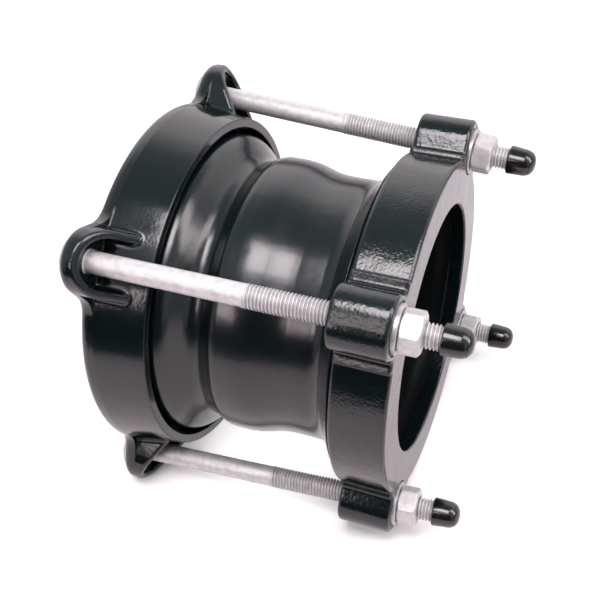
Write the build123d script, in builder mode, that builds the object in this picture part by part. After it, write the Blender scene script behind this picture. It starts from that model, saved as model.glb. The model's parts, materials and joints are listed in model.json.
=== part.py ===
from build123d import *
from math import cos, hypot, radians, sin, sqrt, tan
import os

os.makedirs("parts", exist_ok=True)

# Stepped pipe coupling: a flared sleeve and two rubber wedge gaskets are squeezed
# together by two end rings and four leaning tie bolts.
# The coupling's axis is X. The small ring's outer face lies in the plane x = 0 and
# the large ring is towards -X. All sizes are in millimetres.

# small end ring: each radius is the one before it and the wall or lip between them
small_bore_radius = 67.5
small_ring_width = 29.0
small_face_wall = 9.0
small_lip_depth = 14.0
small_cavity_flare = 5.5
small_rim_thickness = 4.0
small_bore_round = 0.8
small_cavity_floor_radius = small_bore_radius + small_lip_depth
small_cavity_mouth_radius = small_cavity_floor_radius + small_cavity_flare
small_ring_radius = small_cavity_mouth_radius + small_rim_thickness

# the four bosses on the small ring, and the low pad that each one stands on
boss_bolt_offset = 6.2
boss_crown = 15.8
boss_half_width = 15.5
boss_corner_round = 13.0
boss_pad_step = 2.4
boss_pad_shelf = 6.0
boss_foot_round = 3.0
boss_pad_foot_round = 1.2
boss_edge_round = 2.0
boss_bolt_radius = small_ring_radius + boss_bolt_offset
boss_top_radius = boss_bolt_radius + boss_crown
boss_pad_half_width = boss_half_width + boss_pad_shelf

# large end ring: its cup takes the gasket and then the sleeve's bell
bore_step = 13.5
large_face_wall = 9.5
large_gasket_depth = 11.0
bell_reach_into_ring = 14.5
large_lip_depth = 8.8
large_rim_thickness = 4.7
large_band_rise = 4.5
large_ring_edge_round = 5.5
large_bore_round = 0.8
large_ring_width = large_face_wall + large_gasket_depth + bell_reach_into_ring
large_bore_radius = small_bore_radius + bore_step
large_cavity_radius = large_bore_radius + large_lip_depth
large_ring_rim_radius = large_cavity_radius + large_rim_thickness
large_ring_back_radius = large_ring_rim_radius + large_band_rise

# the four lugs on the large ring: a rounded plate inside a wall that slopes to the band
lug_bolt_offset = 7.8
lug_plate_thickness = 8.5
lug_tip_radius = 17.0
lug_foot_flare = 7.0
lug_foot_round = 15.0
hood_wall = 4.6
hood_length = 18.0
hood_edge_round = 1.6
hood_foot_round = 2.5
lug_bolt_radius = large_ring_back_radius + lug_bolt_offset
lug_foot_half_width = lug_tip_radius + lug_foot_flare

# tie bolts, M12 with a cup head and an oval neck
tie_bolt_count = 4
first_bolt_angle = 45.0
thread_diameter = 12.0
shank_relief = 0.7
plain_length = 84.5
thread_end_chamfer = 1.4
head_overhang = 6.25
head_height = 6.2
head_rim_height = 1.6
neck_length = 6.0
neck_swell = 0.6
neck_oval = 3.4
neck_clearance = 0.3
thread_run_out = 1.0
hole_clearance = 1.0
seat_margin = 1.0
seat_depth = 1.0
shank_diameter = thread_diameter - shank_relief
boss_hole_diameter = thread_diameter + 2 * hole_clearance
head_diameter = thread_diameter + 2 * head_overhang
head_seat_diameter = head_diameter + 2 * seat_margin
neck_width = thread_diameter + neck_swell
neck_height = neck_width + neck_oval

# washers and nuts
washer_clearance = 0.5
washer_rim = 5.5
washer_thickness = 2.5
washer_edge_break = 0.35
nut_wall = 3.5
nut_height = 10.4
nut_face_inset = 0.7
nut_corner_slope = 30.0
nut_turns = (53.0, 45.0, 4.0, 28.0)
thread_running_gap = 0.05
washer_hole_diameter = thread_diameter + 2 * washer_clearance
washer_diameter = washer_hole_diameter + 2 * washer_rim
seat_diameter = washer_diameter + 2 * seat_margin
nut_across_flats = thread_diameter + 2 * nut_wall
nut_face_diameter = nut_across_flats - 2 * nut_face_inset

# thread end caps
cap_wall = 1.55
cap_taper = 0.65
cap_gap_from_nut = 8.1
cap_bore_depth = 12.0
cap_floor_gap = 0.3
cap_end_wall = 0.6
cap_point_height = 1.8
cap_end_round = 3.5

# centre sleeve, outer surface: each crest and hollow is set from the one before it
sleeve_wall = 3.6
waist_play = 1.7
waist_length = 13.0
small_flare_gap = 1.0
small_flare_angle = 57.0
small_flare_bend = 11.0
small_flare_overhang = 2.4
hump_rise = 4.9
hump_rise_length = 30.0
hump_length = 5.0
hump_fall_length = 12.5
groove_rise = 0.6
groove_bend = 8.0
shoulder_angle = 50.0
shoulder_bend = 11.0
bell_gap = 3.6
bell_length = 4.5
bell_mouth_gap = 1.2
bell_mouth_angle = 24.0
bell_mouth_bend = 12.0
waist_radius = small_bore_radius + waist_play + sleeve_wall
small_flare_radius = small_cavity_mouth_radius - small_flare_gap
hump_radius = waist_radius + hump_rise
groove_radius = waist_radius + groove_rise
bell_radius = large_cavity_radius - bell_gap
bell_mouth_radius = large_cavity_radius - bell_mouth_gap

# gaskets
small_gasket_relief = 0.4
large_gasket_relief = 0.3
small_gasket_nose = 8.0
gasket_seat_gap = 0.2
gasket_nose_gap = 0.6
small_gasket_radius = small_bore_radius + small_gasket_relief
large_gasket_radius = large_bore_radius + large_gasket_relief

# the sleeve's outline along the axis, from its rim in the small ring to its mouth in the large one
flare_turn = radians(small_flare_angle)
flare_drop = small_flare_radius - waist_radius
flare_bend_drop = small_flare_bend * (1 - cos(flare_turn))
flare_line_run = (flare_drop - flare_bend_drop) / tan(flare_turn)
flare_rim_x = -small_ring_width - small_flare_overhang
flare_root_x = flare_rim_x - flare_line_run - small_flare_bend * sin(flare_turn)
waist_end_x = flare_root_x - waist_length
hump_x = waist_end_x - hump_rise_length
hump_end_x = hump_x - hump_length
groove_x = hump_end_x - hump_fall_length
shoulder_turn = radians(shoulder_angle)
shoulder_bends = groove_bend + shoulder_bend
shoulder_rise = bell_radius - groove_radius
shoulder_line = (shoulder_rise - shoulder_bends * (1 - cos(shoulder_turn))) / sin(shoulder_turn)
bell_x = groove_x - shoulder_bends * sin(shoulder_turn) - shoulder_line * cos(shoulder_turn)
mouth_turn = radians(bell_mouth_angle)
mouth_bend_x = bell_x - bell_length
mouth_bend_rise = bell_mouth_bend * (1 - cos(mouth_turn))
mouth_line = (bell_mouth_radius - bell_radius - mouth_bend_rise) / sin(mouth_turn)
bell_mouth_x = mouth_bend_x - bell_mouth_bend * sin(mouth_turn) - mouth_line * cos(mouth_turn)

# the large ring's planes, and the bolts that span from its lugs to the small ring's bosses
large_rim_x = bell_mouth_x + bell_reach_into_ring
large_back_x = large_rim_x - large_ring_width
lug_front_x = large_back_x + lug_plate_thickness
nut_seat_x = -seat_depth
head_seat_x = large_back_x + seat_depth
bolt_run = nut_seat_x - head_seat_x
bolt_drop = lug_bolt_radius - boss_bolt_radius
grip_length = hypot(bolt_run, bolt_drop)
nut_top = washer_thickness + nut_height
cap_mouth = nut_top + cap_gap_from_nut
cap_floor = cap_mouth + cap_bore_depth
thread_end = cap_floor - cap_floor_gap
bolt_names = ("upper_rear", "upper_front", "lower_front", "lower_rear")
pick_tolerance = 0.02
half_way = 0.5


def bolt_plane(index):
    """Plane on the nut seat of one bolt: local z runs out along the bolt, local x is tangential."""
    angle = radians(first_bolt_angle + index * 360 / tie_bolt_count)
    seat_centre = (nut_seat_x, boss_bolt_radius * cos(angle), boss_bolt_radius * sin(angle))
    outward = (bolt_run, -bolt_drop * cos(angle), -bolt_drop * sin(angle))
    return Plane(origin=seat_centre, x_dir=(0, -sin(angle), cos(angle)), z_dir=outward)


def half_section_plane(seat_plane):
    """Plane that holds the bolt's axis: local x is the distance from it, local y runs along it."""
    return Plane(origin=seat_plane.origin, x_dir=seat_plane.x_dir, z_dir=-seat_plane.y_dir)


bolt_planes = [bolt_plane(index) for index in range(tie_bolt_count)]
bolt_axes = [Axis(plane.origin, plane.z_dir) for plane in bolt_planes]
head_planes = [plane.offset(-grip_length) for plane in bolt_planes]
boss_circle = PolarLocations(0, tie_bolt_count, start_angle=first_bolt_angle)

# centre sleeve: one wall of even thickness, drawn on its outer surface
with BuildPart() as centre_sleeve:
    with BuildSketch(Plane.XY):
        with BuildLine() as sleeve_outline:
            flare_line = PolarLine(
                (flare_rim_x, small_flare_radius),
                hypot(flare_line_run, flare_drop - flare_bend_drop),
                180 + small_flare_angle,
            )
            flare_bend = TangentArc(
                flare_line @ 1, (flare_root_x, waist_radius), tangent=flare_line % 1
            )
            waist = Line(flare_bend @ 1, (waist_end_x, waist_radius))
            rise_middle = ((waist_end_x + hump_x) / 2, (waist_radius + hump_radius) / 2)
            rise_foot = TangentArc(waist @ 1, rise_middle, tangent=(-1, 0))
            rise_top = TangentArc(rise_middle, (hump_x, hump_radius), tangent=rise_foot % 1)
            hump = Line(rise_top @ 1, (hump_end_x, hump_radius))
            fall_middle = ((hump_end_x + groove_x) / 2, (hump_radius + groove_radius) / 2)
            fall_top = TangentArc(hump @ 1, fall_middle, tangent=(-1, 0))
            fall_foot = TangentArc(fall_middle, (groove_x, groove_radius), tangent=fall_top % 1)
            groove = JernArc(fall_foot @ 1, (-1, 0), groove_bend, -shoulder_angle)
            shoulder = PolarLine(groove @ 1, shoulder_line, 180 - shoulder_angle)
            shoulder_top = JernArc(shoulder @ 1, shoulder % 1, shoulder_bend, shoulder_angle)
            bell = Line(shoulder_top @ 1, (mouth_bend_x, bell_radius))
            mouth_bend = JernArc(bell @ 1, (-1, 0), bell_mouth_bend, -bell_mouth_angle)
            PolarLine(mouth_bend @ 1, mouth_line, 180 - bell_mouth_angle)
            offset(amount=sleeve_wall, side=Side.LEFT)
        make_face()
    revolve(axis=Axis.X)
centre_sleeve.part.label = "centre_sleeve"
export_step(centre_sleeve.part, "parts/centre_sleeve.step")

# small end ring: a cup with a bored face, and bosses that run the full width of the ring
small_pad_top = sqrt(small_ring_radius**2 - boss_pad_half_width**2) + boss_pad_step
boss_foot_reach = hypot(small_pad_top, boss_half_width)
with BuildPart() as small_end_ring:
    with BuildSketch(Plane.YZ.offset(-small_ring_width)) as boss_outline:
        Circle(small_ring_radius)
        with boss_circle:
            with Locations(((boss_top_radius + small_bore_radius) / 2, 0)):
                RectangleRounded(boss_top_radius - small_bore_radius, 2 * boss_half_width, boss_corner_round)
            with Locations(((small_pad_top + small_bore_radius) / 2, 0)):
                Rectangle(small_pad_top - small_bore_radius, 2 * boss_pad_half_width)
        boss_feet = boss_outline.vertices().filter_by(
            lambda v: abs(hypot(v.X, v.Y) - boss_foot_reach) < pick_tolerance
        )
        fillet(boss_feet, boss_foot_round)
        pad_feet = boss_outline.vertices().filter_by(
            lambda v: abs(hypot(v.X, v.Y) - small_ring_radius) < pick_tolerance
        )
        fillet(pad_feet, boss_pad_foot_round)
    extrude(amount=small_ring_width)
    fillet(small_end_ring.faces().filter_by(Axis.X).edges(), boss_edge_round)
    with BuildSketch(Plane.XY):
        with BuildLine():
            Polyline(
                (-small_ring_width, 0),
                (-small_ring_width, small_cavity_mouth_radius),
                (-small_face_wall, small_cavity_floor_radius),
                (-small_face_wall, small_bore_radius),
                (0, small_bore_radius),
                (0, 0),
                close=True,
            )
        make_face()
    revolve(axis=Axis.X, mode=Mode.SUBTRACT)
    for plane in bolt_planes:
        with BuildSketch(plane.offset(-2 * small_ring_width)):
            Circle(boss_hole_diameter / 2)
        extrude(amount=3 * small_ring_width, mode=Mode.SUBTRACT)
        with BuildSketch(plane):
            Circle(seat_diameter / 2)
        extrude(amount=small_ring_width, mode=Mode.SUBTRACT)
    bore_edge = small_end_ring.edges().filter_by(GeomType.CIRCLE).filter_by(
        lambda e: abs(e.radius - small_bore_radius) < pick_tolerance
    )
    fillet(bore_edge, small_bore_round)
small_end_ring.part.label = "small_end_ring"
export_step(small_end_ring.part, "parts/small_end_ring.step")

# large end ring: a deep cup that tapers towards its rim. On its back edge stand four
# hooded lugs, each a plate for the bolt head inside a wall that slopes down to the band.
def height_over_band(point):
    """Distance of a point, along its radius, from the tapered outside of the large ring."""
    band_radius = large_ring_back_radius - band_taper * (point.X - lug_front_x)
    return abs(hypot(point.Y, point.Z) - band_radius)


lug_plane = Plane.YZ.offset(large_back_x)
hood_foot_x = lug_front_x + hood_length
band_taper = (large_ring_back_radius - large_ring_rim_radius) / (large_rim_x - lug_front_x)
hood_foot_radius = large_ring_back_radius - band_taper * hood_length
lug_apex_radius = lug_bolt_radius + lug_tip_radius
pocket_half_width = lug_tip_radius - hood_wall
with BuildSketch() as lug_ear:
    with BuildLine():
        CenterArc((lug_bolt_radius, 0), lug_tip_radius, 0, 360)
        Line(
            (large_cavity_radius, -lug_foot_half_width),
            (large_cavity_radius, lug_foot_half_width),
        )
    make_hull()
with BuildPart() as large_end_ring:
    with BuildSketch(lug_plane):
        with boss_circle:
            with Locations((lug_bolt_radius / 2, 0)):
                Rectangle(lug_bolt_radius, 2 * lug_tip_radius)
            with Locations((lug_bolt_radius, 0)):
                Circle(lug_tip_radius)
    extrude(amount=lug_plate_thickness + hood_length)
    with BuildSketch(Plane.XY):
        with BuildLine():
            Polyline(
                (large_back_x, 0),
                (large_back_x, lug_apex_radius),
                (lug_front_x, lug_apex_radius),
                (hood_foot_x, hood_foot_radius),
                (hood_foot_x, 0),
                close=True,
            )
        make_face()
    revolve(axis=Axis.X, mode=Mode.INTERSECT)
    with BuildSketch(Plane.YZ.offset(lug_front_x)):
        with boss_circle:
            with Locations((lug_bolt_radius / 2, 0)):
                Rectangle(lug_bolt_radius, 2 * pocket_half_width)
            with Locations((lug_bolt_radius, 0)):
                Circle(pocket_half_width)
    extrude(amount=large_ring_width, mode=Mode.SUBTRACT)
    with BuildSketch(lug_plane) as lug_outline:
        Circle(large_ring_back_radius)
        with boss_circle:
            add(lug_ear.sketch)
        lug_feet = lug_outline.vertices().filter_by(
            lambda v: abs(hypot(v.X, v.Y) - large_ring_back_radius) < pick_tolerance
        )
        fillet(lug_feet, lug_foot_round)
    extrude(amount=lug_plate_thickness)
    with BuildSketch(Plane.XY):
        with BuildLine():
            Polyline(
                (lug_front_x, 0),
                (lug_front_x, large_ring_back_radius),
                (large_rim_x, large_ring_rim_radius),
                (large_rim_x, 0),
                close=True,
            )
        make_face()
    revolve(axis=Axis.X)
    cones_by_size = large_end_ring.faces().filter_by(GeomType.CONE).sort_by(SortBy.AREA)
    hood_slopes = cones_by_size[:tie_bolt_count]
    fillet(hood_slopes.edges().filter_by(GeomType.CIRCLE, reverse=True), hood_edge_round)
    hood_feet = large_end_ring.edges().filter_by(GeomType.LINE, reverse=True).filter_by(
        lambda e: height_over_band(e @ half_way) < pick_tolerance
        and lug_front_x + pick_tolerance < (e @ half_way).X < large_rim_x - pick_tolerance
    )
    fillet(hood_feet, hood_foot_round)
    back_face = large_end_ring.faces().filter_by(Axis.X).sort_by(Axis.X)[0]
    fillet(back_face.edges(), large_ring_edge_round)
    with BuildSketch(Plane.XY):
        with BuildLine():
            Polyline(
                (large_rim_x, 0),
                (large_rim_x, large_cavity_radius),
                (large_back_x + large_face_wall, large_cavity_radius),
                (large_back_x + large_face_wall, large_bore_radius),
                (large_back_x, large_bore_radius),
                (large_back_x, 0),
                close=True,
            )
        make_face()
    revolve(axis=Axis.X, mode=Mode.SUBTRACT)
    for plane in head_planes:
        with BuildSketch(plane):
            SlotOverall(
                neck_height + 2 * neck_clearance, neck_width + 2 * neck_clearance, rotation=90
            )
        extrude(amount=lug_plate_thickness, mode=Mode.SUBTRACT)
        with BuildSketch(plane):
            Circle(head_seat_diameter / 2)
        extrude(amount=-lug_plate_thickness, mode=Mode.SUBTRACT)
    large_bore_edges = large_end_ring.edges().filter_by(GeomType.CIRCLE).filter_by(
        lambda e: abs(e.radius - large_bore_radius) < pick_tolerance
    )
    fillet(large_bore_edges, large_bore_round)
large_end_ring.part.label = "large_end_ring"
export_step(large_end_ring.part, "parts/large_end_ring.step")

# small gasket: fills the cup of the small ring and noses into the flared end of the sleeve
small_mouth_x = flare_rim_x + sleeve_wall * sin(flare_turn)
small_mouth_radius = small_flare_radius - sleeve_wall * cos(flare_turn)
small_nose_x = small_mouth_x - small_gasket_nose / tan(flare_turn)
small_cavity_slope = small_cavity_flare / (small_ring_width - small_face_wall)
small_heel_radius = small_cavity_floor_radius - gasket_seat_gap
small_lip_radius = small_heel_radius - small_cavity_slope * (small_face_wall + small_mouth_x)
with BuildPart() as small_gasket:
    with BuildSketch(Plane.XY):
        with BuildLine():
            Polyline(
                (-small_face_wall, small_gasket_radius),
                (-small_face_wall, small_heel_radius),
                (small_mouth_x + gasket_seat_gap, small_lip_radius),
                (small_mouth_x + gasket_seat_gap, small_mouth_radius - gasket_seat_gap),
                (small_nose_x + gasket_seat_gap, small_mouth_radius - small_gasket_nose),
                (small_nose_x + gasket_seat_gap, small_gasket_radius),
                close=True,
            )
        make_face()
    revolve(axis=Axis.X)
small_gasket.part.label = "small_gasket"
export_step(small_gasket.part, "parts/small_gasket.step")

# large gasket: the same kind of wedge between the large ring and the sleeve's bell
large_seat_x = large_back_x + large_face_wall
large_mouth_x = bell_mouth_x - sleeve_wall * sin(mouth_turn)
large_mouth_radius = bell_mouth_radius - sleeve_wall * cos(mouth_turn)
mouth_line_end_x = large_mouth_x + mouth_line * cos(mouth_turn)
mouth_line_end_radius = large_mouth_radius - mouth_line * sin(mouth_turn)
bell_inner_radius = bell_radius - sleeve_wall
with BuildPart() as large_gasket:
    with BuildSketch(Plane.XY):
        with BuildLine():
            Polyline(
                (large_seat_x, large_gasket_radius),
                (large_seat_x, large_cavity_radius - gasket_seat_gap),
                (large_mouth_x - gasket_seat_gap, large_cavity_radius - gasket_seat_gap),
                (large_mouth_x - gasket_seat_gap, large_mouth_radius - gasket_nose_gap),
                (mouth_line_end_x, mouth_line_end_radius - gasket_nose_gap),
                (mouth_bend_x, bell_inner_radius - gasket_nose_gap),
                (mouth_bend_x, large_gasket_radius),
                close=True,
            )
        make_face()
    revolve(axis=Axis.X)
large_gasket.part.label = "large_gasket"
export_step(large_gasket.part, "parts/large_gasket.step")

# tie bolts: cup head, oval neck that keeps the bolt from turning, plain shank, thread
shank_radius = shank_diameter / 2
thread_radius = thread_diameter / 2
for name, plane, axis in zip(bolt_names, bolt_planes, bolt_axes):
    with BuildPart() as tie_bolt:
        with BuildSketch(half_section_plane(plane)):
            with BuildLine():
                dome = TangentArc(
                    (0, -grip_length - head_height),
                    (head_diameter / 2, -grip_length - head_rim_height),
                    tangent=(1, 0),
                )
                Polyline(
                    dome @ 1,
                    (head_diameter / 2, -grip_length),
                    (shank_radius, -grip_length),
                    (shank_radius, plain_length - grip_length),
                    (thread_radius, plain_length - grip_length + thread_run_out),
                    (thread_radius, thread_end - thread_end_chamfer),
                    (thread_radius - thread_end_chamfer, thread_end),
                    (0, thread_end),
                    dome @ 0,
                )
            make_face()
        revolve(axis=axis)
        with BuildSketch(plane.offset(-grip_length)):
            SlotOverall(neck_height, neck_width, rotation=90)
        extrude(amount=neck_length)
    tie_bolt.part.label = f"tie_bolt_{name}"
    export_step(tie_bolt.part, f"parts/tie_bolt_{name}.step")

# washers: one on each nut seat
for name, plane in zip(bolt_names, bolt_planes):
    with BuildPart() as washer:
        with BuildSketch(plane):
            Circle(washer_diameter / 2)
            Circle(washer_hole_diameter / 2, mode=Mode.SUBTRACT)
        extrude(amount=washer_thickness)
        chamfer(washer.edges().filter_by(GeomType.CIRCLE), washer_edge_break)
    washer.part.label = f"washer_{name}"
    export_step(washer.part, f"parts/washer_{name}.step")

# hexagon nuts with coned corners, each left at the angle where it came tight
nut_corner_radius = nut_across_flats / sqrt(3)
nut_face_radius = nut_face_diameter / 2
nut_cone_drop = (nut_corner_radius - nut_face_radius) * tan(radians(nut_corner_slope))
nut_bore_radius = thread_radius + thread_running_gap
for name, plane, axis, turn in zip(bolt_names, bolt_planes, bolt_axes, nut_turns):
    with BuildPart() as nut:
        with BuildSketch(plane.offset(washer_thickness)):
            RegularPolygon(nut_across_flats / 2, 6, major_radius=False, rotation=turn)
        extrude(amount=nut_height)
        with BuildSketch(half_section_plane(plane)):
            with BuildLine():
                Polyline(
                    (nut_bore_radius, washer_thickness),
                    (nut_face_radius, washer_thickness),
                    (nut_corner_radius, washer_thickness + nut_cone_drop),
                    (nut_corner_radius, nut_top - nut_cone_drop),
                    (nut_face_radius, nut_top),
                    (nut_bore_radius, nut_top),
                    close=True,
                )
            make_face()
        revolve(axis=axis, mode=Mode.INTERSECT)
    nut.part.label = f"nut_{name}"
    export_step(nut.part, f"parts/nut_{name}.step")

# thread end caps: dipped covers with a slight taper and a shallow pointed end
cap_bore_radius = thread_radius + thread_running_gap
cap_mouth_radius = cap_bore_radius + cap_wall
cap_far_radius = cap_mouth_radius - cap_taper
cap_shoulder = cap_floor + cap_end_wall
for name, plane, axis in zip(bolt_names, bolt_planes, bolt_axes):
    with BuildPart() as thread_cap:
        with BuildSketch(half_section_plane(plane)):
            with BuildLine():
                cap_outline = Polyline(
                    (cap_bore_radius, cap_mouth),
                    (cap_mouth_radius, cap_mouth),
                    (cap_far_radius, cap_shoulder),
                    (0, cap_shoulder + cap_point_height),
                    (0, cap_floor),
                    (cap_bore_radius - thread_end_chamfer, cap_floor),
                    (cap_bore_radius, cap_floor - thread_end_chamfer),
                    close=True,
                )
            cap_section = make_face()
            cap_shoulder_corner = cap_section.vertices().sort_by(
                lambda v: abs(v.X - cap_far_radius) + abs(v.Y - cap_shoulder)
            )[0]
            fillet(cap_shoulder_corner, cap_end_round)
        revolve(axis=axis)
    thread_cap.part.label = f"thread_cap_{name}"
    export_step(thread_cap.part, f"parts/thread_cap_{name}.step")
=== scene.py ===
import json
from math import pi, radians, tan
import bpy
import numpy as np
from mathutils import Matrix, Vector


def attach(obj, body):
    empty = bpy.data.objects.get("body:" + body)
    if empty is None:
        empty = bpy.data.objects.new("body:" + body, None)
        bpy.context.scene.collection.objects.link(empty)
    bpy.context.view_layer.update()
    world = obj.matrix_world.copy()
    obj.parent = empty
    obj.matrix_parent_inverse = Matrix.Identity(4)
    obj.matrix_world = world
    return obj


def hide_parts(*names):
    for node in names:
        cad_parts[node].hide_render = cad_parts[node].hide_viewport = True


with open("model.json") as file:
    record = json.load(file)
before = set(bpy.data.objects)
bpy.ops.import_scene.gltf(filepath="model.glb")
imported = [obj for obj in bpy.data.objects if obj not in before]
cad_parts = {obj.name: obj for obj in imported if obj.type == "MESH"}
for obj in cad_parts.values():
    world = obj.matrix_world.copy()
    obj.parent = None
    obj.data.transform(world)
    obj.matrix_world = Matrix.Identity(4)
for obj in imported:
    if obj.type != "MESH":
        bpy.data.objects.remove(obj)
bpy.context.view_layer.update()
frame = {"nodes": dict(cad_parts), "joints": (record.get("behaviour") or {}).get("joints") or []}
cad_nodes = frame["nodes"]

# The two end rings are ductile iron castings, dipped in a black nylon coating.
# The sand mould leaves a low grain under the coat, which breaks up each highlight,
# and the coat pools a little, so its gloss is never quite even.


def fill_socket(tree, socket, value):
    """Links another node's output to the socket, or sets the value there."""
    if hasattr(value, "is_output"):
        tree.links.new(value, socket)
    else:
        socket.default_value = value


def put_node(tree, kind, **values):
    """New shader node of that kind; each value goes to the input socket or setting of its name."""
    made = tree.nodes.new("ShaderNode" + kind)
    for name, value in values.items():
        socket = made.inputs.get(name.replace("_", " "))
        if socket is None:
            setattr(made, name, value)
        else:
            fill_socket(tree, socket, value)
    return made


def work_out(tree, kind, operation, *values):
    """Result of a Math or VectorMath node on numbers or other nodes' outputs."""
    made = put_node(tree, kind, operation=operation)
    for socket, value in zip(made.inputs, values):
        fill_socket(tree, socket, value)
    return made.outputs[0]


def noise_at(tree, place, **values):
    """Value of a noise texture at the place."""
    return put_node(tree, "TexNoise", Vector=place, **values).outputs["Fac"]


def mix_colours(tree, share, first, second):
    """Colour that goes from first to second with the share; each is a colour or an output."""
    made = put_node(tree, "Mix", data_type="RGBA", Factor=share)
    for socket, colour in ((made.inputs[6], first), (made.inputs[7], second)):
        fill_socket(tree, socket, (*colour, 1.0) if isinstance(colour, tuple) else colour)
    return made.outputs[2]


def new_group(name, numbers_in, outputs):
    """Node group that reads object coordinates and the named numbers, and has the named outputs."""
    tree = bpy.data.node_groups.new(name, "ShaderNodeTree")
    for label, value in numbers_in.items():
        made = tree.interface.new_socket(label, in_out="INPUT", socket_type="NodeSocketFloat")
        made.default_value = value
    for label, kind in outputs.items():
        tree.interface.new_socket(label, in_out="OUTPUT", socket_type="NodeSocket" + kind)
    source = tree.nodes.new("NodeGroupInput")
    sink = tree.nodes.new("NodeGroupOutput")
    place = put_node(tree, "TexCoord").outputs["Object"]
    return tree, source.outputs, sink.inputs, place


def new_finish(name, **values):
    """Material with one Principled shader, whose own sockets hold the constants given."""
    finish = bpy.data.materials.new(name)
    finish.use_nodes = True
    tree = finish.node_tree
    shader = tree.nodes["Principled BSDF"]
    for label, value in values.items():
        shader.inputs[label.replace("_", " ")].default_value = value
    return finish, tree, shader


def use_group(tree, group, **values):
    """Outputs of the group placed in a material, with its numbers set there."""
    made = tree.nodes.new("ShaderNodeGroup")
    made.node_tree = group
    for label, value in values.items():
        made.inputs[label.replace("_", " ")].default_value = value
    return made.outputs


def link_finish(tree, shader, colour, roughness, normal):
    """Leads a finish's colour, roughness and normal into its shader."""
    tree.links.new(colour, shader.inputs["Base Color"])
    tree.links.new(roughness, shader.inputs["Roughness"])
    tree.links.new(normal, shader.inputs["Normal"])


def dress(node_names, finish):
    """Gives CAD nodes that finish."""
    for name in node_names:
        mesh = cad_nodes[name].data
        mesh.materials.clear()
        mesh.materials.append(finish)


coat_skin, skin_in, skin_out, skin_place = new_group(
    "coat_skin",
    {"Grain Size": 0.0016, "Grain": 1.0, "Waviness": 1.0, "Gloss": 0.12, "Gloss Change": 0.08},
    {"Height": "Float", "Roughness": "Float", "Shade": "Float"},
)
grain_scale = work_out(coat_skin, "Math", "DIVIDE", 1.0, skin_in["Grain Size"])
grain_noise = noise_at(coat_skin, skin_place, Scale=grain_scale, Detail=2.0)
wave_noise = noise_at(coat_skin, skin_place, Scale=110.0, Detail=1.0)
gloss_noise = noise_at(coat_skin, skin_place, Scale=45.0, Detail=3.0)
grain_height = work_out(coat_skin, "Math", "MULTIPLY", grain_noise, skin_in["Grain"])
skin_height = work_out(
    coat_skin, "Math", "MULTIPLY_ADD", wave_noise, skin_in["Waviness"], grain_height
)
skin_rough = work_out(
    coat_skin, "Math", "MULTIPLY_ADD", gloss_noise, skin_in["Gloss Change"], skin_in["Gloss"]
)
coat_skin.links.new(skin_height, skin_out["Height"])
coat_skin.links.new(skin_rough, skin_out["Roughness"])
coat_skin.links.new(gloss_noise, skin_out["Shade"])


def coated(name, depth, edge, **skin):
    """Black coated finish: its colour follows the skin's shade, its bumps are depth deep, and
    its sharp edges shade as if they had the edge radius."""
    finish, tree, shader = new_finish(name, IOR=1.5)
    made = use_group(tree, coat_skin, **skin)
    colour = mix_colours(tree, made["Shade"], coat_dark, coat_light)
    soft_edge = put_node(tree, "Bevel", samples=6, Radius=edge).outputs[0]
    bump = put_node(
        tree, "Bump", Strength=1.0, Distance=depth, Height=made["Height"], Normal=soft_edge
    )
    link_finish(tree, shader, colour, made["Roughness"], bump.outputs[0])
    return finish


coat_dark = (0.0012, 0.0032, 0.0036)
coat_light = (0.0024, 0.0052, 0.0058)
casting_grain_depth = 0.00016
casting_edge_radius = 0.0012
large_ring_coating = coated(
    "large_ring_coating", casting_grain_depth, casting_edge_radius,
    Grain=0.15, Waviness=0.40, Gloss=0.08, Gloss_Change=0.07,
)
small_ring_coating = coated(
    "small_ring_coating", casting_grain_depth, casting_edge_radius,
    Grain=0.8, Waviness=1.3, Gloss=0.10, Gloss_Change=0.12,
)
dress(["large_end_ring"], large_ring_coating)
dress(["small_end_ring"], small_ring_coating)

# The gaskets are moulded black rubber wedges with fine ribs round their bore. They sit in
# the rings' cups and are squeezed onto the sleeve's flares and the pipes.
rubber_dark = (0.0012, 0.0018, 0.0021)
rubber_light = (0.0030, 0.0040, 0.0045)
rubber_rib_share = 2.5
gasket_rubber, rubber_tree, rubber_shader = new_finish("gasket_rubber", Specular_IOR_Level=0.30)
rubber_place = put_node(rubber_tree, "TexCoord").outputs["Object"]
rubber_noise = noise_at(rubber_tree, rubber_place, Scale=600.0, Detail=4.0)
rubber_ribs = put_node(
    rubber_tree, "TexWave", bands_direction="X", Vector=rubber_place, Scale=26.0, Distortion=0.4
)
rubber_height = work_out(
    rubber_tree, "Math", "MULTIPLY_ADD", rubber_ribs.outputs["Fac"], rubber_rib_share, rubber_noise
)
rubber_bump = put_node(rubber_tree, "Bump", Strength=0.6, Distance=0.0002, Height=rubber_height)
rubber_rough = put_node(rubber_tree, "MapRange", Value=rubber_noise, To_Min=0.25, To_Max=0.40)
link_finish(
    rubber_tree, rubber_shader, mix_colours(rubber_tree, rubber_noise, rubber_dark, rubber_light),
    rubber_rough.outputs[0], rubber_bump.outputs[0],
)
dress(["large_gasket", "small_gasket"], gasket_rubber)

# The sleeve is rolled and flared from one steel tube and coated like the rings.
# Its skin is smoother than the castings', with long soft waves from the forming.
sleeve_coating = coated(
    "sleeve_coating", depth=0.00012, edge=0.0006,
    Grain_Size=0.0011, Grain=0.12, Waviness=1.1, Gloss=0.17, Gloss_Change=0.08,
)
dress(["centre_sleeve"], sleeve_coating)

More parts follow.
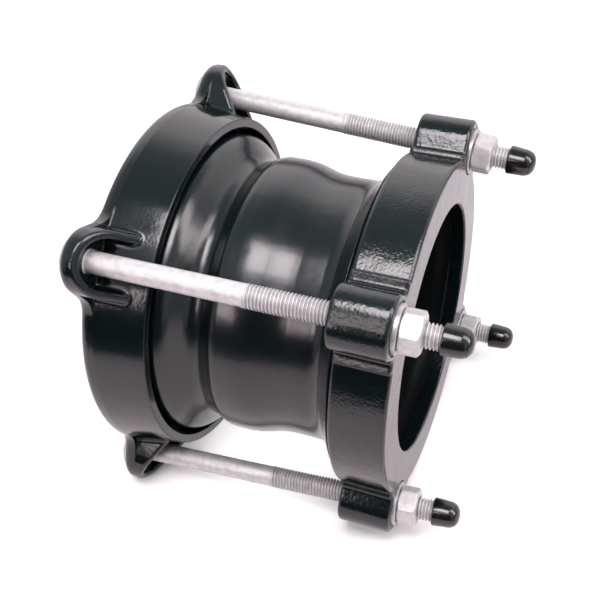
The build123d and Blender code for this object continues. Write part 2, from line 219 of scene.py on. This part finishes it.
# The tie bolts are M12, hot-dip galvanised, with a cup head and a rolled thread that
# stands proud of the plain shank. The zinc is dull and mottled, and fills the thread a little.
bolt_names = ["upper_rear", "upper_front", "lower_front", "lower_rear"]
joint_of = {joint["name"]: joint for joint in frame["joints"]}
grip = 0.15727
head_height = 0.00615
head_rim = 0.0016
head_radius = 0.01225
head_edge_break = 0.0003
head_pole = 0.06
head_rows = 10
neck_length = 0.006
neck_across = 0.0063
neck_along = 0.0080
neck_run_out = 0.0006
shank_radius = 0.00565
shank_rows = 30
thread_radius = 0.0060
thread_start = -0.0728
thread_end = 0.0327
thread_end_chamfer = 0.0014
thread_pitch = 0.00175
thread_depth = 0.00092
thread_rows_per_turn = 10
turns_to_full_radius = 1.5
first_cut_turn = 0.5
full_cut_turn = 2.5
flank_steepness = 1.45
crest_flat = 0.2
bolt_columns = 44
bolt_crease = radians(50)


def bolt_frame(name):
    """Matrix onto one bolt: origin at its nut seat, z out along the bolt, x tangential."""
    spin = joint_of["nut_spin_" + name]
    along = Vector(spin["axis"]).normalized()
    seat = Vector(spin["pos_m"])
    across = Vector((1, 0, 0)).cross(seat).normalized()
    across = (across - along * across.dot(along)).normalized()
    turn = Matrix((across, along.cross(across), along)).transposed()
    return Matrix.Translation(seat) @ turn.to_4x4()


def surface(name, points, finish, sharp_above, place, body, wrap_rows=False):
    """Mesh over a grid of rows and columns of points, each row a closed ring. With wrap_rows the
    last row joins the first; otherwise a fan to the mean of the points closes each end."""
    rows, columns = points.shape[:2]
    index = np.arange(rows * columns).reshape(rows, columns)
    if wrap_rows:
        index = np.vstack([index, index[:1]])
    right = np.roll(index, -1, axis=1)
    quads = np.stack([index[:-1], right[:-1], right[1:], index[1:]], axis=-1).reshape(-1, 4)
    corners = points.reshape(-1, 3)
    faces = quads.tolist()
    if not wrap_rows:
        poles = np.stack([points[0].mean(axis=0), points[-1].mean(axis=0)])
        first = rows * columns
        corners = np.vstack([corners, poles])
        start_fan = np.stack([np.full(columns, first), right[0], index[0]], axis=-1)
        end_fan = np.stack([np.full(columns, first + 1), index[-1], right[-1]], axis=-1)
        faces += start_fan.tolist() + end_fan.tolist()
    turn = np.array(place)
    corners = corners @ turn[:3, :3].T + turn[:3, 3]
    mesh = bpy.data.meshes.new(name)
    mesh.from_pydata(corners.tolist(), [], faces)
    mesh.polygons.foreach_set("use_smooth", np.ones(len(faces), bool))
    mesh.set_sharp_from_angle(angle=sharp_above)
    mesh.materials.append(finish)
    piece = bpy.data.objects.new(name, mesh)
    bpy.context.scene.collection.objects.link(piece)
    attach(piece, body)
    return piece


def around_z(radius, angle, height):
    """Points at that radius, angle and height: x is radius times cosine, y radius times sine."""
    parts = (radius * np.cos(angle), radius * np.sin(angle), height)
    return np.stack(np.broadcast_arrays(*parts), axis=-1)


def smooth_step(value, low, high):
    """0 below low, 1 above high, and three t squared less two t cubed between them."""
    t = np.clip((value - low) / (high - low), 0, 1)
    return t * t * (3 - 2 * t)


def bolt_points():
    """One bolt along z, and how deep each point lies in the thread. The head's dome is an arc
    whose radius is the sine of its turn, the neck an oval of the fourth power, and the thread a
    wave in height over pitch less angle over a full turn."""
    angle = np.linspace(0, 2 * pi, bolt_columns, endpoint=False)
    head_turn = np.linspace(head_pole, 1, head_rows) * pi / 2
    dome_z = -grip - head_rim - (head_height - head_rim) * np.cos(head_turn)
    dome_r = head_radius * np.sin(head_turn)
    neck_end = -grip + neck_length
    plain_z = np.array([-grip - head_edge_break, -grip, -grip, -grip, neck_end])
    plain_r = np.array(
        [head_radius, head_radius - head_edge_break, neck_along, neck_along, neck_along]
    )
    shank_z = np.linspace(neck_end + neck_run_out, thread_start, shank_rows)
    turns = (thread_end - thread_start) / thread_pitch
    thread_z = np.linspace(thread_start, thread_end, int(turns * thread_rows_per_turn))[1:]
    straight_r = np.full(len(shank_z) + len(thread_z), shank_radius)
    z = np.concatenate([dome_z, plain_z, shank_z, thread_z])[:, None]
    r = np.concatenate([dome_r, plain_r, straight_r])[:, None]
    neck_x = abs(np.cos(angle)) / neck_across
    neck_y = abs(np.sin(angle)) / neck_along
    oval = (neck_x ** 4 + neck_y ** 4) ** -0.25
    in_neck = (z >= -grip) & (z <= neck_end) & (r <= neck_along)
    r = np.where(in_neck, oval[None, :], r)
    turns_in = (z - thread_start) / thread_pitch
    phase = (z / thread_pitch - angle[None, :] / (2 * pi)) % 1
    tooth = smooth_step(abs(2 * phase - 1) * flank_steepness - crest_flat, 0, 1)
    tooth = tooth * smooth_step(turns_in, first_cut_turn, full_cut_turn)
    grown = smooth_step(turns_in, 0, turns_to_full_radius)
    threaded = shank_radius + (thread_radius - shank_radius) * grown - thread_depth * tooth
    end_cone = thread_radius - thread_end_chamfer + (thread_end - z)
    r = np.where(z > thread_start, np.minimum(threaded, end_cone), r)
    return around_z(r, angle, z), np.where(z > thread_start, tooth, 0)


def colour_ramp(tree, share, *stops):
    """Colour that passes through each stop's colour at its place, as the share goes from 0 to 1."""
    ramp = put_node(tree, "ValToRGB", Fac=share)
    while len(ramp.color_ramp.elements) < len(stops):
        ramp.color_ramp.elements.new(0.5)
    for element, (place, colour) in zip(ramp.color_ramp.elements, stops):
        element.position = place
        element.color = (*colour, 1.0)
    return ramp.outputs["Color"]


zinc_dull = (0.44, 0.425, 0.43)
zinc_bright = (0.57, 0.55, 0.555)
zinc_rough_change = 0.18
zinc_speck_share = 0.4
zinc_skin, zinc_in, zinc_out, zinc_place = new_group(
    "zinc_skin",
    {"Rough": 0.42, "Tone": 1.0, "Groove Shade": 0.0},
    {"Height": "Float", "Roughness": "Float", "Color": "Color"},
)
mottle_noise = noise_at(zinc_skin, zinc_place, Scale=300.0, Detail=4.0, Roughness=0.55)
speck_noise = noise_at(zinc_skin, zinc_place, Scale=1900.0, Detail=2.0)
drift_noise = noise_at(zinc_skin, zinc_place, Scale=90.0, Detail=2.0)
zinc_mottle = colour_ramp(zinc_skin, mottle_noise, (0.30, zinc_dull), (0.62, zinc_bright))
zinc_rough = work_out(
    zinc_skin, "Math", "MULTIPLY_ADD", drift_noise, zinc_rough_change, zinc_in["Rough"]
)
zinc_height = work_out(
    zinc_skin, "Math", "MULTIPLY_ADD", speck_noise, zinc_speck_share, mottle_noise
)
# Painted shade: the colour is darker in a thread's grooves, by Groove Shade times how deep the
# point lies in the thread.
in_groove = put_node(zinc_skin, "Attribute", attribute_name="groove").outputs["Fac"]
painted_groove_shade = work_out(zinc_skin, "Math", "MULTIPLY", in_groove, zinc_in["Groove Shade"])
zinc_tone = work_out(zinc_skin, "Math", "SUBTRACT", zinc_in["Tone"], painted_groove_shade)
zinc_toned = put_node(zinc_skin, "VectorMath", operation="SCALE", Scale=zinc_tone)
zinc_skin.links.new(zinc_mottle, zinc_toned.inputs[0])
zinc_skin.links.new(zinc_height, zinc_out["Height"])
zinc_skin.links.new(zinc_rough, zinc_out["Roughness"])
zinc_skin.links.new(zinc_toned.outputs[0], zinc_out["Color"])


def zinced(name, rough, depth, tone, groove_shade=0.0):
    """Zinc finish of that roughness and tone: its grain is depth deep, and a thread's grooves get
    painted shade, darker by groove_shade."""
    finish, tree, shader = new_finish(name, Metallic=0.5)
    made = use_group(tree, zinc_skin, Rough=rough, Tone=tone, Groove_Shade=groove_shade)
    bump = put_node(tree, "Bump", Strength=1.0, Distance=depth, Height=made["Height"])
    link_finish(tree, shader, made["Color"], made["Roughness"], bump.outputs[0])
    return finish


bolt_zinc = zinced("bolt_zinc", rough=0.40, depth=0.00005, tone=0.95, groove_shade=0.30)
bolt_grid, bolt_groove = bolt_points()
bolt_groove = np.append(bolt_groove.ravel(), [0, 0]).astype(np.float32)
for name in bolt_names:
    bolt = surface(
        "galvanised_bolt_" + name, bolt_grid, bolt_zinc, bolt_crease, bolt_frame(name),
        "coupling",
    )
    groove_depth = bolt.data.attributes.new("groove", "FLOAT", "POINT")
    groove_depth.data.foreach_set("value", bolt_groove)
    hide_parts("tie_bolt_" + name)

# The washers are plain M12 ones, stamped from sheet and plated in bright zinc. Each lies
# flat on the spot face of its boss, under the nut.
washer_thickness = 0.0025
washer_zinc = zinced("washer_zinc", rough=0.26, depth=0.00003, tone=0.70)
dress(["washer_" + name for name in bolt_names], washer_zinc)

# The nuts are M12 hexagons, galvanised dull and pale, with coned corners and a
# countersunk thread mouth on both faces. Each stands on its washer, turned as it was left.
nut_height = 0.0104
nut_flat_radius = 0.0095
nut_face_radius = 0.0088
nut_bore_radius = 0.00605
nut_mouth_radius = 0.0066
nut_mouth_depth = 0.0006
nut_cone_depth = 0.0016
nut_cone_slope = tan(radians(30))
nut_sides = 6
nut_corner_power = 60
nut_cone_power = 90
nut_cone_rows = 9
nut_columns = 96
nut_crease = radians(40)
nut_corner_turns = {"upper_rear": 53, "upper_front": 45, "lower_front": 4, "lower_rear": 28}


def nut_points(corner_turn):
    """One nut along z. Its hexagon is the flat's radius over the p-th root of the sum of each
    face's cosine to the power p, so a finite p rounds the corners. A cone at each face cuts it
    through a smooth minimum, and the section then returns through the bore."""
    angle = np.linspace(0, 2 * pi, nut_columns, endpoint=False)
    face_angle = np.arange(nut_sides) * 2 * pi / nut_sides
    toward_face = np.clip(np.cos(angle[:, None] - face_angle[None, :]), 0, 1)
    face_sum = (toward_face ** nut_corner_power).sum(axis=1)
    hexagon = nut_flat_radius / face_sum ** (1 / nut_corner_power)
    cone_rise = np.linspace(0, nut_cone_depth, nut_cone_rows)
    rise = np.concatenate([cone_rise, [0.5 * nut_height], nut_height - cone_rise[::-1]])
    cone = nut_face_radius + np.minimum(rise, nut_height - rise) / nut_cone_slope
    hexagon_share = (hexagon[None, :] / nut_face_radius) ** -nut_cone_power
    cone_share = (cone[:, None] / nut_face_radius) ** -nut_cone_power
    side = nut_face_radius * (hexagon_share + cone_share) ** (-1 / nut_cone_power)
    mouth_r = [nut_mouth_radius, nut_bore_radius, nut_bore_radius, nut_mouth_radius]
    mouth_z = [nut_height, nut_height - nut_mouth_depth, nut_mouth_depth, 0.0]
    r = np.concatenate([side, np.repeat(np.array(mouth_r)[:, None], nut_columns, axis=1)])
    z = np.concatenate([rise, mouth_z])[:, None] + washer_thickness
    corner_from_face = pi / nut_sides
    return around_z(r, angle + corner_turn + corner_from_face, z)


nut_zinc = zinced("nut_zinc", rough=0.38, depth=0.00004, tone=0.90)
for name in bolt_names:
    nut = surface(
        "galvanised_nut_" + name, nut_points(radians(nut_corner_turns[name])), nut_zinc,
        nut_crease, bolt_frame(name), "nut_" + name, wrap_rows=True,
    )
    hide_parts("nut_" + name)

# The thread caps are dipped black vinyl, pushed over the bolt ends. The dip leaves
# them glossy, with a faint ripple.
cap_mouth = 0.0210
cap_floor = 0.0330
cap_dome_start = 0.0283
cap_end = 0.0353
cap_bore_radius = 0.00605
cap_mouth_radius = 0.0076
cap_far_radius = 0.0071
cap_dome_power = 2.4
cap_dome_reach = 0.97
cap_dome_rows = 18
cap_lip_rows = 9
cap_columns = 64
cap_crease = radians(50)
vinyl_dark = (0.003, 0.003, 0.0035)
vinyl_light = (0.006, 0.006, 0.007)
cap_vinyl, cap_tree, cap_shader = new_finish("cap_vinyl", IOR=1.52)
cap_place = put_node(cap_tree, "TexCoord").outputs["Object"]
cap_noise = noise_at(cap_tree, cap_place, Scale=220.0, Detail=2.0)
cap_rough = put_node(cap_tree, "MapRange", Value=cap_noise, To_Min=0.10, To_Max=0.22)
cap_bump = put_node(cap_tree, "Bump", Strength=0.6, Distance=0.0001, Height=cap_noise)
link_finish(
    cap_tree, cap_shader, mix_colours(cap_tree, cap_noise, vinyl_dark, vinyl_light),
    cap_rough.outputs[0], cap_bump.outputs[0],
)


def cap_points():
    """One cap along z, from the bore's end out over the mouth to the tip. The lip is a half
    circle and the side a straight taper. The tip is the curve on which radius over its largest,
    to the dome's power, and height over its largest, to the same power, add up to one."""
    angle = np.linspace(0, 2 * pi, cap_columns, endpoint=False)
    lip_turn = np.linspace(0, pi, cap_lip_rows)
    lip_radius = (cap_mouth_radius - cap_bore_radius) / 2
    lip_r = cap_bore_radius + lip_radius - lip_radius * np.cos(lip_turn)
    lip_z = cap_mouth + lip_radius - lip_radius * np.sin(lip_turn)
    tip_turn = np.linspace(0, cap_dome_reach, cap_dome_rows) * pi / 2
    tip_r = cap_far_radius * np.cos(tip_turn) ** (2 / cap_dome_power)
    tip_height = cap_end - cap_dome_start
    tip_z = cap_dome_start + tip_height * np.sin(tip_turn) ** (2 / cap_dome_power)
    r = np.concatenate([[cap_bore_radius / 2, cap_bore_radius], lip_r, tip_r])[:, None]
    z = np.concatenate([[cap_floor, cap_floor], lip_z, tip_z])[:, None]
    return around_z(r, angle, z)


for name in bolt_names:
    cap = surface(
        "vinyl_cap_" + name, cap_points(), cap_vinyl, cap_crease, bolt_frame(name),
        "thread_cap_" + name,
    )
    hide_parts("thread_cap_" + name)

# The coupling stands on a plain white table, which looks white everywhere to the camera. Painted
# light lies on it: a painted glow below the sleeve washes out the shadow there. In the coating it
# is mirrored in a dimmer, pinker white, with painted shade darkening it towards the front.
table_drop = 0.0925
table_left, table_right, table_front, table_back = -2.5, 2.5, -2.5, 3.0
table_white_seen = (0.93, 0.925, 0.925)
# Painted shade: what the table mirrors and bounces goes from this dimmer, pinker white to a dark
# colour at the front.
table_white_mirrored = (0.82, 0.76, 0.775)
table_painted_shade = (0.04, 0.045, 0.05)
painted_shade_start = -0.80
painted_shade_end = -0.38
# Painted light: the table glows around a spot below the sleeve, which washes out the shadow there.
painted_glow_centre = (-0.085, -0.025, 0.0)
painted_glow_colour = (1.0, 0.97, 0.98, 1.0)
painted_glow_strength = 0.85
painted_glow_full_radius = 0.025
painted_glow_end_radius = 0.085
table_paint, table_tree, table_shader = new_finish("table_paint", Roughness=0.9)
table_place = put_node(table_tree, "TexCoord").outputs["Object"]
painted_shade_fade = put_node(
    table_tree, "MapRange", interpolation_type="SMOOTHSTEP",
    Value=put_node(table_tree, "SeparateXYZ", Vector=table_place).outputs["Y"],
    From_Min=painted_shade_start, From_Max=painted_shade_end,
)
# Painted shade in what the table mirrors: dark towards the front, a dimmer white behind.
table_mirrored_shaded = mix_colours(table_tree, painted_shade_fade.outputs[0], table_painted_shade, table_white_mirrored)
table_colour = mix_colours(
    table_tree, put_node(table_tree, "LightPath").outputs["Is Camera Ray"],
    table_mirrored_shaded, table_white_seen,
)
table_tree.links.new(table_colour, table_shader.inputs["Base Color"])
from_painted_glow = put_node(table_tree, "VectorMath", operation="DISTANCE")
table_tree.links.new(table_place, from_painted_glow.inputs[0])
from_painted_glow.inputs[1].default_value = painted_glow_centre
# Painted glow, full near the spot below the sleeve and gone beyond the end radius.
table_painted_glow = put_node(
    table_tree, "MapRange", interpolation_type="SMOOTHSTEP", Value=from_painted_glow.outputs["Value"],
    From_Min=painted_glow_full_radius, From_Max=painted_glow_end_radius, To_Min=painted_glow_strength, To_Max=0.0,
)
table_tree.links.new(table_painted_glow.outputs[0], table_shader.inputs["Emission Strength"])
table_shader.inputs["Emission Color"].default_value = painted_glow_colour
table_corners = [
    (table_left, table_front, 0), (table_right, table_front, 0),
    (table_right, table_back, 0), (table_left, table_back, 0),
]
table_mesh = bpy.data.meshes.new("table")
table_mesh.from_pydata(table_corners, [], [(0, 1, 2, 3)])
table_mesh.materials.append(table_paint)
table = bpy.data.objects.new("table", table_mesh)
table.location = (0, 0, -table_drop)
bpy.context.scene.collection.objects.link(table)

# The studio is a white room with a dim ceiling, brightest at the back and dark at the front.
# A large soft box hangs over the front of the table with a dim one beside it, a long one
# stands at the right, and two small windows at the front are mirrored low on the sleeve.
studio = bpy.data.worlds.new("studio")
bpy.context.scene.world = studio
studio.use_nodes = True
sky = studio.node_tree
direction = put_node(sky, "TexCoord").outputs["Generated"]
sine_up = put_node(sky, "SeparateXYZ", Vector=direction).outputs["Z"]
level = work_out(sky, "VectorMath", "MULTIPLY", direction, (1, 1, 0))
level_direction = work_out(sky, "VectorMath", "NORMALIZE", level)
toward_back = put_node(sky, "SeparateXYZ", Vector=level_direction).outputs["Y"]


def blend_walls(near, far, start, end):
    """Smooth blend of two walls between two values of the level direction's Y."""
    share = put_node(
        sky, "MapRange", interpolation_type="SMOOTHSTEP", Value=toward_back,
        From_Min=start, From_Max=end,
    )
    return mix_colours(sky, share.outputs[0], near, far)


ceiling = (1.0, (0.32, 0.42, 0.44))
side_wall = colour_ramp(
    sky, sine_up,
    (0.0, (0.66, 0.66, 0.70)), (0.6, (0.90, 0.92, 0.96)), (0.85, (0.62, 0.70, 0.73)), ceiling,
)
back_wall = colour_ramp(
    sky, sine_up,
    (0.0, (1.55, 1.45, 1.50)), (0.6, (2.1, 1.96, 2.02)), (0.82, (0.66, 0.72, 0.74)), ceiling,
)
front_wall = colour_ramp(
    sky, sine_up,
    (0.0, (0.01, 0.02, 0.02)), (0.68, (0.10, 0.12, 0.13)), (0.80, (1.0, 1.05, 1.15)), ceiling,
)
back_wall_start, back_wall_full = 0.35, 0.75
front_wall_start, front_wall_full = -0.70, -0.86
backdrop_white = (1.2, 1.2, 1.2)
room = blend_walls(side_wall, back_wall, back_wall_start, back_wall_full)
room = blend_walls(room, front_wall, front_wall_start, front_wall_full)
sky_colour = mix_colours(
    sky, put_node(sky, "LightPath").outputs["Is Camera Ray"], room, backdrop_white
)
sky.links.new(sky_colour, sky.nodes["Background"].inputs["Color"])


def soft_box(name, centre, facing, size, radiance, tint):
    """Rectangular light at that centre, turned towards the point it faces. Its power is its
    radiance times its area times a quarter of pi squared."""
    width, height = size
    lamp = bpy.data.lights.new(name, "AREA")
    lamp.shape = "RECTANGLE"
    lamp.size, lamp.size_y = size
    lamp.energy = radiance * pi * width * height * pi / 4
    lamp.color = tint
    holder = bpy.data.objects.new(name, lamp)
    holder.location = centre
    toward = Vector(facing) - Vector(centre)
    holder.rotation_euler = toward.to_track_quat("-Z", "Y").to_euler()
    bpy.context.scene.collection.objects.link(holder)


soft_box(
    "overhead_box", centre=(-0.0555, -0.265, 0.70), facing=(-0.0555, -0.265, 0.0),
    size=(0.311, 0.31), radiance=16.4, tint=(1.0, 0.925, 0.955),
)
soft_box(
    "overhead_glow", centre=(-0.055, -0.38, 0.71), facing=(-0.055, -0.38, 0.0),
    size=(0.33, 0.50), radiance=2.5, tint=(1.0, 0.95, 0.97),
)
soft_box(
    "right_box", centre=(0.625, 0.01, 0.75), facing=(-0.07, 0.0, 0.03),
    size=(0.34, 1.0), radiance=10.5, tint=(1.0, 0.91, 0.94),
)
soft_box(
    "front_window", centre=(-0.30, -0.55, 0.29), facing=(-0.07, -0.07, 0.03),
    size=(0.19, 0.15), radiance=10.5, tint=(1.0, 0.86, 0.90),
)
soft_box(
    "front_strip", centre=(-0.18, -0.55, 0.49), facing=(-0.02, -0.08, 0.08),
    size=(0.24, 0.08), radiance=8.0, tint=(1.0, 0.86, 0.90),
)

# The camera looks down on the coupling from in front and a little to the right. Its place,
# its turn and its lens were fitted to the edges of the bolts, the rings and the bore.
sensor_width = 36.0
focal_pixels = 927.1
picture_pixels = 600
camera_place = Vector((0.080701, -0.339308, 0.365950))
camera_forward = Vector((-0.30251796, 0.64732389, -0.69961037))
camera_up = Vector((-0.20393291, 0.67304706, 0.71092829))
camera_right = camera_forward.cross(camera_up)
camera_turn = Matrix((camera_right, camera_up, -camera_forward)).transposed()
camera_data = bpy.data.cameras.new("camera")
camera_data.sensor_width = sensor_width
camera_data.lens = sensor_width * focal_pixels / picture_pixels
camera = bpy.data.objects.new("camera", camera_data)
camera.matrix_world = Matrix.Translation(camera_place) @ camera_turn.to_4x4()
bpy.context.scene.collection.objects.link(camera)
bpy.context.scene.camera = camera
bpy.context.scene.view_settings.view_transform = "Standard"
